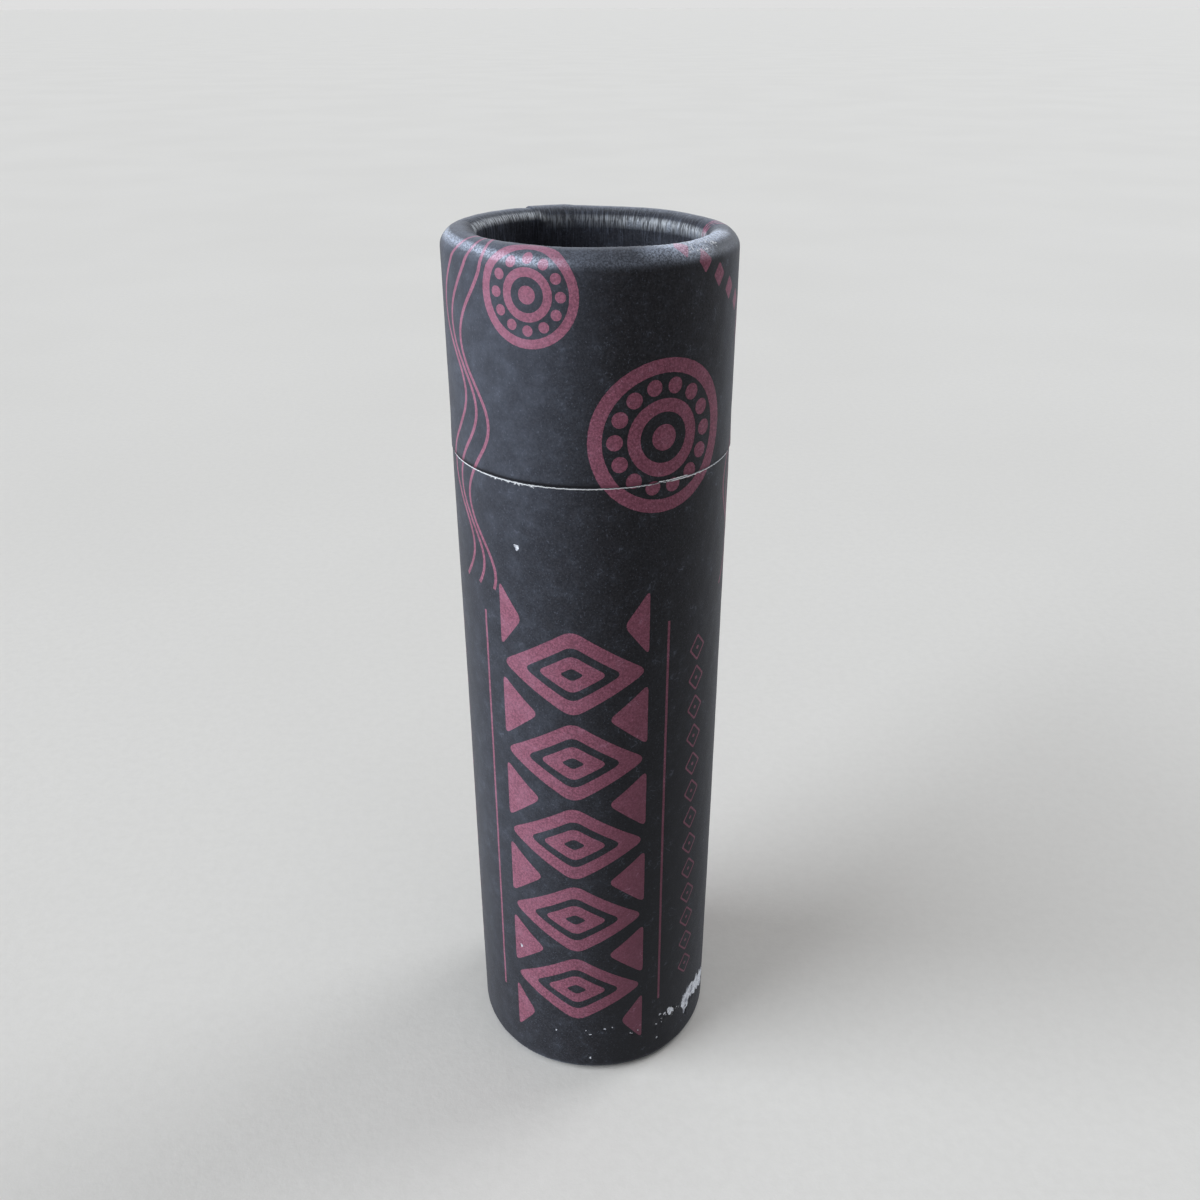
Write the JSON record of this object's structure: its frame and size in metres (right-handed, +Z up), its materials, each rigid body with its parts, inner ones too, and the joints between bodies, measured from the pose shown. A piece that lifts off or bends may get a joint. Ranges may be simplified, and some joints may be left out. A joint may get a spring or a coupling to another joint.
{
  "type": "lip balm stick",
  "caption": "Push-up lip balm stick in a slim paperboard tube: rolled foot, pull-off cap with a recessed end, inner neck tube and a cup that slides the balm up.",
  "frame": {"origin": "centre of the rolled foot, on the surface that the tube stands on", "axes": "+Z up the tube's axis, from the foot to the cap's end; the tube is round, so +X and +Y are free"},
  "size_m": [0.02, 0.02, 0.0688],
  "materials": {
    "printed_paper": "black uncoated paper with a soft sheen",
    "white_board": "matte white paperboard",
    "greaseproof_paper": "smooth, slightly waxy",
    "balm_wax": "satin wax"
  },
  "bodies": {
    "body": {"body_wrap": "printed_paper", "body_tube": "white_board", "neck_tube": "white_board", "neck_liner": "greaseproof_paper"},
    "stick": {"push_disc": "white_board", "push_sleeve": "white_board", "barrier_disc": "greaseproof_paper", "balm": "balm_wax"},
    "cap": {"cap_wrap": "printed_paper", "cap_tube": "white_board", "cap_end_disc": "white_board", "cap_disc_facing": "printed_paper"}
  },
  "joints": [
    {"name": "push_up", "type": "slide", "parent": "body", "child": "stick", "axis": [0, 0, 1], "range_m": [0, 0.05]},
    {"name": "cap_pull", "type": "slide", "parent": "stick", "child": "cap", "axis": [0, 0, 1], "range_m": [0, 0.03]}
  ]
}
